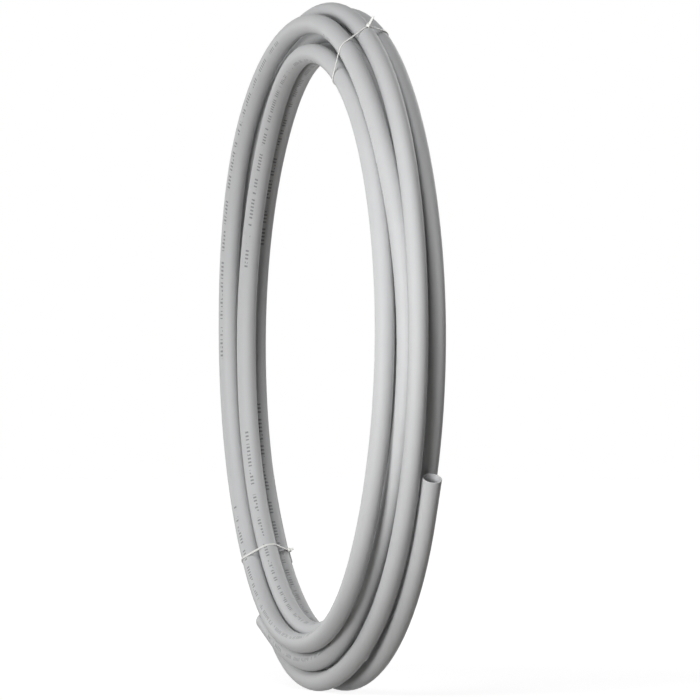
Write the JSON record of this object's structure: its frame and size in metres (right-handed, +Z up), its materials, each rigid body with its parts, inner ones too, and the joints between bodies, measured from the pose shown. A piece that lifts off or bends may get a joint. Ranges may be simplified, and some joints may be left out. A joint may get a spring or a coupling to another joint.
{
  "type": "coil of plastic pipe",
  "caption": "Coil of plain light grey plastic pipe, open at both cut ends, held in an oval ring by two thin ties.",
  "frame": {"origin": "middle of the coil's width and thickness, on the floor that the coil stands on", "axes": "+X across the coil's width, towards the side where the outer cut end is, +Y through its thickness, from the front face back, +Z up"},
  "size_m": [0.7262, 0.0846, 0.7105],
  "materials": {
    "pipe_plastic": "satin, plain light grey",
    "tie_nylon": "natural white nylon"
  },
  "bodies": {
    "root": {"pipe": "pipe_plastic", "tie_upper": "tie_nylon", "tie_lower": "tie_nylon"}
  },
  "joints": []
}
